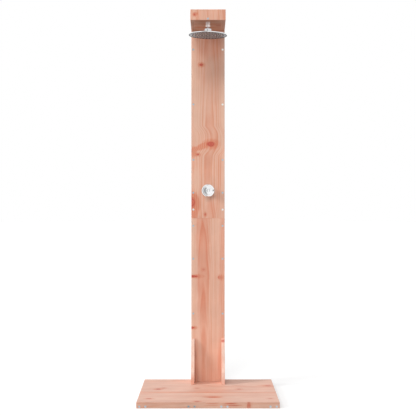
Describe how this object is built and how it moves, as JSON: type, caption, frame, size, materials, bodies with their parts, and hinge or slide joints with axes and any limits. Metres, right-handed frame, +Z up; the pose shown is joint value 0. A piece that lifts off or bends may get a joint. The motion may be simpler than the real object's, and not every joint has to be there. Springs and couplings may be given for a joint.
{
  "type": "outdoor shower post",
  "caption": "Freestanding timber outdoor shower: flat boarded deck, boxed board column with a turning valve handle, and a boxed arm carrying a round rain head on a ball joint.",
  "frame": {"origin": "on the ground, under the middle of the deck", "axes": "+X to the right of a user who faces the column, +Y away from the user and through the column, +Z up"},
  "size_m": [0.7, 0.62, 2],
  "materials": {
    "softwood": "sawn softwood, lightly oiled",
    "screw_steel": "bright zinc",
    "zinc_steel": "galvanised",
    "brass": "cast, lightly machined",
    "pipe_metal": "drawn, satin",
    "chrome": "polished",
    "face_steel": "satin",
    "nozzle_rubber": "matt",
    "rubber": "matt",
    "white_plastic": "smooth",
    "clip_plastic": "matt"
  },
  "bodies": {
    "post": {"arm_fascia": "softwood", "arm_pipe": "pipe_metal", "arm_screws": "screw_steel", "arm_side_left": "softwood", "arm_side_right": "softwood", "arm_top_board": "softwood", "arm_underside_board": "softwood", "base_brackets": "zinc_steel", "bracket_screws": "screw_steel", "column_front_lower": "softwood", "column_front_upper": "softwood", "column_screws": "screw_steel", "column_side_left": "softwood", "column_side_right": "softwood", "cover_plate": "chrome", "cover_ring": "chrome", "cover_seal": "rubber", "deck_back_rail": "softwood", "deck_bearer_1": "softwood", "deck_bearer_2": "softwood", "deck_bearer_3": "softwood", "deck_bearer_4": "softwood", "deck_front_panel": "softwood", "deck_front_rail": "softwood", "deck_rear_panel": "softwood", "drop_elbow": "brass", "drop_lock_nut": "chrome", "drop_nipple": "chrome", "gusset_left": "softwood", "gusset_right": "softwood", "gusset_screws": "screw_steel", "hose_connector": "brass", "inlet_washer": "rubber", "joint_plates": "zinc_steel", "lower_batten": "softwood", "pipe_clips": "clip_plastic", "rail_screws": "screw_steel", "riser_pipe_lower": "pipe_metal", "riser_pipe_upper": "pipe_metal", "short_screws": "screw_steel", "splice_batten": "softwood", "swivel_ball": "chrome", "top_elbow": "brass", "union_nuts": "brass", "upper_batten": "softwood", "valve_body": "brass", "valve_cartridge": "brass", "valve_lock_nut": "brass"},
    "handle": {"handle_cap": "chrome", "handle_knob": "chrome", "handle_lever": "chrome", "handle_screw": "screw_steel", "valve_spindle": "brass"},
    "seal": {"ball_seal": "rubber"},
    "slip_ring": {"ball_slip_ring": "white_plastic"},
    "shower_head": {"ball_nut": "chrome", "face_plate": "face_steel", "face_seal": "rubber", "head_shell": "chrome", "nozzles": "nozzle_rubber"}
  },
  "joints": [
    {"name": "valve_turn", "type": "hinge", "parent": "post", "child": "handle", "pos_m": [0, 0.22, 1.072], "axis": [0, -1, 0], "range_deg": [0, 90]},
    {"name": "head_tilt", "type": "hinge", "parent": "post", "child": "seal", "pos_m": [0, 0.003, 1.906], "axis": [1, 0, 0], "range_deg": [-12, 12]},
    {"name": "head_lean", "type": "hinge", "parent": "seal", "child": "slip_ring", "pos_m": [0, 0.003, 1.906], "axis": [0, 1, 0], "range_deg": [-12, 12]},
    {"name": "head_spin", "type": "hinge", "parent": "slip_ring", "child": "shower_head", "pos_m": [0, 0.003, 1.906], "axis": [0.0175, 0, 0.9998], "continuous": true}
  ]
}
